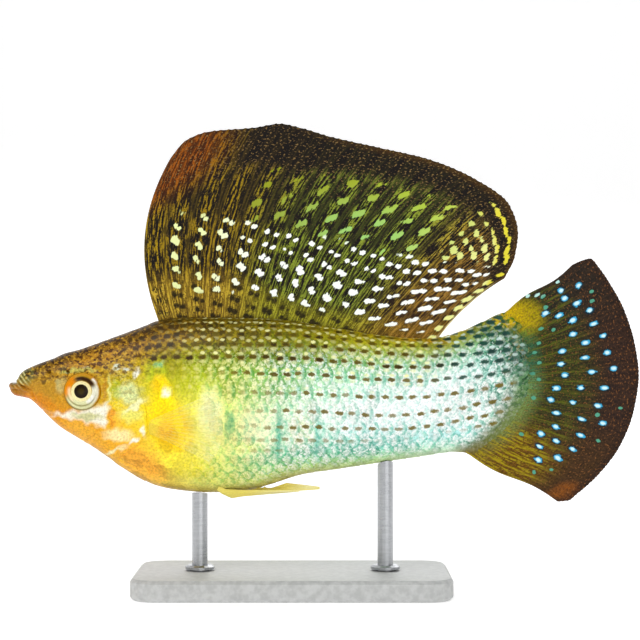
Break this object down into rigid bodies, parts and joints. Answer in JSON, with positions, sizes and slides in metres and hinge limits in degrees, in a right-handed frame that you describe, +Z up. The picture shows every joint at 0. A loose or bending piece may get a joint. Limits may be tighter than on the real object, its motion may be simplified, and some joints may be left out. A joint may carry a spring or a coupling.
{
  "type": "sailfin molly",
  "caption": "Life-size model of a male sailfin molly with its tall spotted dorsal fin raised, swimming level on a plain display stand.",
  "frame": {"origin": "on the ground under the middle of the whole model's bounding box", "axes": "+X from the snout towards the tail fin, +Y towards the fish's right side, +Z up"},
  "size_m": [0.12, 0.032, 0.0895],
  "materials": {
    "head_skin": "wet satin, speckled olive gold",
    "jaw_skin": "wet satin, orange",
    "gill_cover": "wet satin, gold with a pearly sheen",
    "flank_skin": "wet scales, turquoise and silver with olive dashes",
    "dorsal_fin": "satin, dark with pale and yellow spots",
    "tail_fin": "satin, dark brown with sky-blue spots",
    "clear_fin": "thin and pale yellow",
    "eye": "polished, gold iris and black pupil",
    "stand_base": "fine matte grey",
    "stand_rod": "brushed"
  },
  "bodies": {
    "root": {"head": "head_skin", "lower_jaw": "jaw_skin", "gill_cover_left": "gill_cover", "gill_cover_right": "gill_cover", "torso": "flank_skin", "tail": "flank_skin", "dorsal_fin": "dorsal_fin", "tail_fin": "tail_fin", "pectoral_fin_left": "clear_fin", "pectoral_fin_right": "clear_fin", "pelvic_fin_left": "clear_fin", "pelvic_fin_right": "clear_fin", "gonopodium": "clear_fin", "eye_left": "eye", "eye_right": "eye", "stand_base": "stand_base", "stand_rod_front": "stand_rod", "stand_rod_rear": "stand_rod"}
  },
  "joints": []
}
